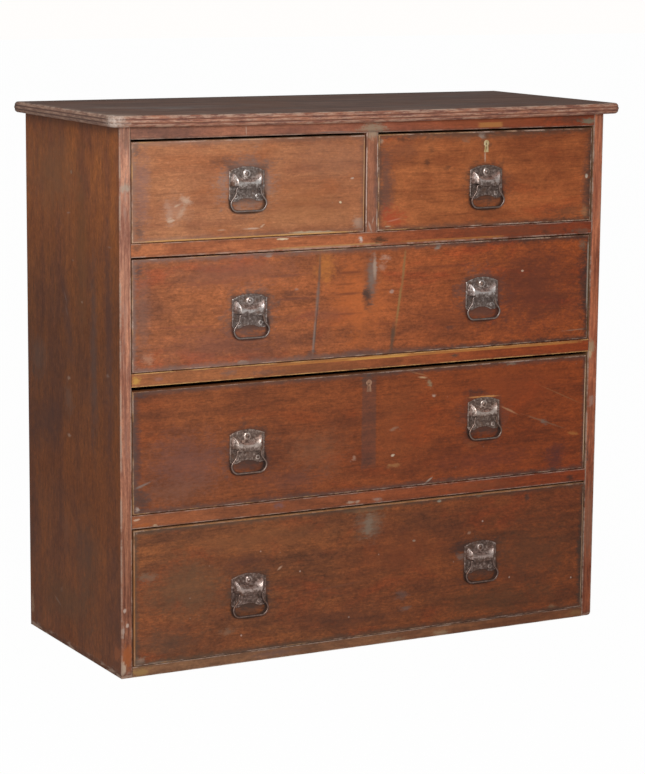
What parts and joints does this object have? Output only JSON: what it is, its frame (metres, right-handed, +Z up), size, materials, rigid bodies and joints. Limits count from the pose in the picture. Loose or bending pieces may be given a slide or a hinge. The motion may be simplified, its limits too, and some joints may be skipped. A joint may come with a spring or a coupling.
{
  "type": "chest of drawers",
  "caption": "Old mahogany chest with short drawers over long graduated drawers, reeded overhanging top and pressed metal drop handles.",
  "frame": {"origin": "on the floor, at the centre of the overall width and of the overall depth", "axes": "+X to the right seen from the front, +Y to the back, +Z up; the drawers open towards -Y"},
  "size_m": [1.114, 0.469, 1.056],
  "materials": {
    "top_mahogany": "dull aged dark surface with worn reeded edge",
    "side_mahogany": "old dark polish, upright grain",
    "rail_mahogany": "old polish with worn pale edges",
    "drawer_mahogany": "old polish, grime along the edges",
    "inner_pine": "bare aged softwood",
    "plate_metal": "pressed metal with dark patina",
    "bail_metal": "drawn wire with dark patina, rubbed bright",
    "screw_metal": "aged round-headed screws and pins",
    "pale_inlay": "cream inlay, worn",
    "dark_inlay": "brown inlay, worn"
  },
  "bodies": {
    "carcase": {"top_board": "top_mahogany", "left_side": "side_mahogany", "right_side": "side_mahogany", "top_front_rail": "rail_mahogany", "top_back_rail": "inner_pine", "centre_divider": "rail_mahogany", "upper_drawer_rail": "rail_mahogany", "middle_drawer_rail": "rail_mahogany", "lower_drawer_rail": "rail_mahogany", "bottom_rail": "rail_mahogany", "left_runners": "inner_pine", "right_runners": "inner_pine", "centre_runner": "inner_pine", "dust_boards": "inner_pine", "back_boards": "inner_pine"},
    "top_left_drawer": {"top_left_drawer_front": "drawer_mahogany", "top_left_drawer_left_side": "inner_pine", "top_left_drawer_right_side": "inner_pine", "top_left_drawer_back": "inner_pine", "top_left_drawer_bottom": "inner_pine", "top_left_drawer_handle_plates": "plate_metal", "top_left_drawer_handle_screws": "screw_metal"},
    "top_left_drawer_bail": {"top_left_drawer_bail": "bail_metal"},
    "top_right_drawer": {"top_right_drawer_front": "drawer_mahogany", "top_right_drawer_left_side": "inner_pine", "top_right_drawer_right_side": "inner_pine", "top_right_drawer_back": "inner_pine", "top_right_drawer_bottom": "inner_pine", "top_right_drawer_handle_plates": "plate_metal", "top_right_drawer_handle_screws": "screw_metal", "top_right_keyhole_inlay": "pale_inlay"},
    "top_right_drawer_bail": {"top_right_drawer_bail": "bail_metal"},
    "second_drawer": {"second_drawer_front": "drawer_mahogany", "second_drawer_left_side": "inner_pine", "second_drawer_right_side": "inner_pine", "second_drawer_back": "inner_pine", "second_drawer_bottom": "inner_pine", "second_drawer_handle_plates": "plate_metal", "second_drawer_handle_screws": "screw_metal"},
    "second_drawer_left_bail": {"second_drawer_left_bail": "bail_metal"},
    "second_drawer_right_bail": {"second_drawer_right_bail": "bail_metal"},
    "third_drawer": {"third_drawer_front": "drawer_mahogany", "third_drawer_left_side": "inner_pine", "third_drawer_right_side": "inner_pine", "third_drawer_back": "inner_pine", "third_drawer_bottom": "inner_pine", "third_drawer_handle_plates": "plate_metal", "third_drawer_handle_screws": "screw_metal", "third_keyhole_inlay": "dark_inlay"},
    "third_drawer_left_bail": {"third_drawer_left_bail": "bail_metal"},
    "third_drawer_right_bail": {"third_drawer_right_bail": "bail_metal"},
    "bottom_drawer": {"bottom_drawer_front": "drawer_mahogany", "bottom_drawer_left_side": "inner_pine", "bottom_drawer_right_side": "inner_pine", "bottom_drawer_back": "inner_pine", "bottom_drawer_bottom": "inner_pine", "bottom_drawer_handle_plates": "plate_metal", "bottom_drawer_handle_screws": "screw_metal"},
    "bottom_drawer_left_bail": {"bottom_drawer_left_bail": "bail_metal"},
    "bottom_drawer_right_bail": {"bottom_drawer_right_bail": "bail_metal"}
  },
  "joints": [
    {"name": "top_left_drawer_slide", "type": "slide", "parent": "carcase", "child": "top_left_drawer", "axis": [0, -1, 0], "range_m": [0, 0.32]},
    {"name": "top_left_drawer_bail_hinge", "type": "hinge", "parent": "top_left_drawer", "child": "top_left_drawer_bail", "pos_m": [-0.27325, -0.224, 0.917], "axis": [-1, 0, 0], "range_deg": [-8, 88]},
    {"name": "top_right_drawer_slide", "type": "slide", "parent": "carcase", "child": "top_right_drawer", "axis": [0, -1, 0], "range_m": [0, 0.32]},
    {"name": "top_right_drawer_bail_hinge", "type": "hinge", "parent": "top_right_drawer", "child": "top_right_drawer_bail", "pos_m": [0.25225, -0.224, 0.9027], "axis": [-1, 0, 0], "range_deg": [-8, 88]},
    {"name": "second_drawer_slide", "type": "slide", "parent": "carcase", "child": "second_drawer", "axis": [0, -1, 0], "range_m": [0, 0.32]},
    {"name": "second_drawer_left_bail_hinge", "type": "hinge", "parent": "second_drawer", "child": "second_drawer_left_bail", "pos_m": [-0.266, -0.2238, 0.6773], "axis": [-1, 0, 0], "range_deg": [-8, 88]},
    {"name": "second_drawer_right_bail_hinge", "type": "hinge", "parent": "second_drawer", "child": "second_drawer_right_bail", "pos_m": [0.2475, -0.2238, 0.6819], "axis": [-1, 0, 0], "range_deg": [-8, 88]},
    {"name": "third_drawer_slide", "type": "slide", "parent": "carcase", "child": "third_drawer", "axis": [0, -1, 0], "range_m": [0, 0.32]},
    {"name": "third_drawer_left_bail_hinge", "type": "hinge", "parent": "third_drawer", "child": "third_drawer_left_bail", "pos_m": [-0.2705, -0.2238, 0.4183], "axis": [-1, 0, 0], "range_deg": [-8, 88]},
    {"name": "third_drawer_right_bail_hinge", "type": "hinge", "parent": "third_drawer", "child": "third_drawer_right_bail", "pos_m": [0.257, -0.2238, 0.4402], "axis": [-1, 0, 0], "range_deg": [-8, 88]},
    {"name": "bottom_drawer_slide", "type": "slide", "parent": "carcase", "child": "bottom_drawer", "axis": [0, -1, 0], "range_m": [0, 0.32]},
    {"name": "bottom_drawer_left_bail_hinge", "type": "hinge", "parent": "bottom_drawer", "child": "bottom_drawer_left_bail", "pos_m": [-0.2675, -0.2268, 0.1385], "axis": [-1, 0, 0], "range_deg": [-8, 88]},
    {"name": "bottom_drawer_right_bail_hinge", "type": "hinge", "parent": "bottom_drawer", "child": "bottom_drawer_right_bail", "pos_m": [0.2535, -0.2268, 0.1487], "axis": [-1, 0, 0], "range_deg": [-8, 88]}
  ]
}
